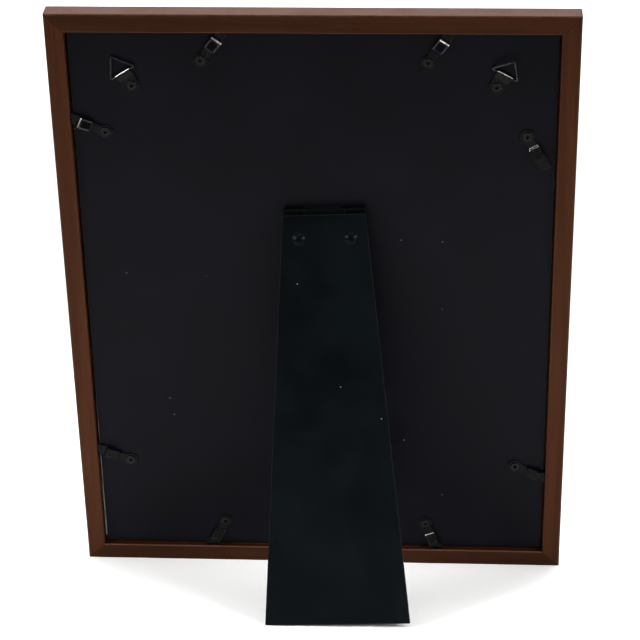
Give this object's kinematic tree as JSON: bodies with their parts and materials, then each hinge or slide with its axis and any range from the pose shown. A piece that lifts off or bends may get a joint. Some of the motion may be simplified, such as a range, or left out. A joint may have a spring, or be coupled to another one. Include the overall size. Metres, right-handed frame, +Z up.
{
  "type": "picture frame",
  "caption": "Wooden picture frame with glass, mat and black backing board, held by turn clips, with hanging rings and a folding easel leg.",
  "frame": {"origin": "centre of the bounding box on the floor the frame stands on", "axes": "+Z up, front of the frame towards -Y, easel leg towards +Y, X across; left and right are as seen from behind, so left is +X"},
  "size_m": [0.3046, 0.112, 0.3735],
  "materials": {
    "rail": "satin brown stain",
    "nail": "bright",
    "glass": "clear",
    "mat": "matt white",
    "picture": "matt print",
    "board": "black, slightly mottled",
    "leg": "black, smooth",
    "black_steel": "dark bronze-black, semi-gloss",
    "rivet": "blackened steel",
    "hinge": "black",
    "pin": "plain"
  },
  "bodies": {
    "frame": {"rail_top": "rail", "rail_bottom": "rail", "rail_left": "rail", "rail_right": "rail", "corner_nails": "nail", "glass_pane": "glass", "mat_board": "mat", "picture_sheet": "picture", "backing_board": "board", "clip_rivets": "rivet", "hanger_straps": "black_steel", "hanger_rivets": "rivet", "hinge_board_leaf": "hinge", "hinge_board_rivets": "rivet", "hinge_pin": "pin"},
    "leg": {"leg_panel": "leg", "leg_rivets": "rivet", "hinge_leg_leaf": "hinge"},
    "clip_top_left": {"clip_top_left": "black_steel"},
    "clip_top_right": {"clip_top_right": "black_steel"},
    "clip_left_upper": {"clip_left_upper": "black_steel"},
    "clip_left_lower": {"clip_left_lower": "black_steel"},
    "clip_right_upper": {"clip_right_upper": "black_steel"},
    "clip_right_lower": {"clip_right_lower": "black_steel"},
    "clip_bottom_left": {"clip_bottom_left": "black_steel"},
    "clip_bottom_right": {"clip_bottom_right": "black_steel"},
    "ring_left": {"ring_left": "black_steel"},
    "ring_right": {"ring_right": "black_steel"}
  },
  "joints": [
    {"name": "leg_hinge", "type": "hinge", "parent": "frame", "child": "leg", "pos_m": [-0.0054, 0.01361, 0.24998], "axis": [-0.9992, 0.0088, 0.0383], "range_deg": [0, 21.45]},
    {"name": "clip_top_left_turn", "type": "hinge", "parent": "frame", "child": "clip_top_left", "pos_m": [0.0638, 0.03278, 0.34367], "axis": [0, 0.9744, -0.225], "continuous": true},
    {"name": "clip_top_right_turn", "type": "hinge", "parent": "frame", "child": "clip_top_right", "pos_m": [-0.066, 0.03263, 0.34299], "axis": [0, 0.9744, -0.225], "continuous": true},
    {"name": "clip_left_upper_turn", "type": "hinge", "parent": "frame", "child": "clip_left_upper", "pos_m": [0.1215, 0.02253, 0.29924], "axis": [0, 0.9744, -0.225], "continuous": true},
    {"name": "clip_left_lower_turn", "type": "hinge", "parent": "frame", "child": "clip_left_lower", "pos_m": [0.1206, -0.02928, 0.07484], "axis": [0, 0.9744, -0.225], "continuous": true},
    {"name": "clip_right_upper_turn", "type": "hinge", "parent": "frame", "child": "clip_right_upper", "pos_m": [-0.1235, 0.02223, 0.29797], "axis": [0, 0.9744, -0.225], "continuous": true},
    {"name": "clip_right_lower_turn", "type": "hinge", "parent": "frame", "child": "clip_right_lower", "pos_m": [-0.1222, -0.02944, 0.07416], "axis": [0, 0.9744, -0.225], "continuous": true},
    {"name": "clip_bottom_left_turn", "type": "hinge", "parent": "frame", "child": "clip_bottom_left", "pos_m": [0.0621, -0.03972, 0.02963], "axis": [0, 0.9744, -0.225], "continuous": true},
    {"name": "clip_bottom_right_turn", "type": "hinge", "parent": "frame", "child": "clip_bottom_right", "pos_m": [-0.066, -0.03963, 0.03002], "axis": [0, 0.9744, -0.225], "continuous": true},
    {"name": "ring_left_swing", "type": "hinge", "parent": "frame", "child": "ring_left", "pos_m": [0.10892, 0.03253, 0.33526], "axis": [-0.848, 0.1192, 0.5163], "range_deg": [0, 140]},
    {"name": "ring_right_swing", "type": "hinge", "parent": "frame", "child": "ring_right", "pos_m": [-0.10945, 0.03259, 0.33552], "axis": [-0.8788, -0.1073, -0.4649], "range_deg": [-20, 120]}
  ]
}
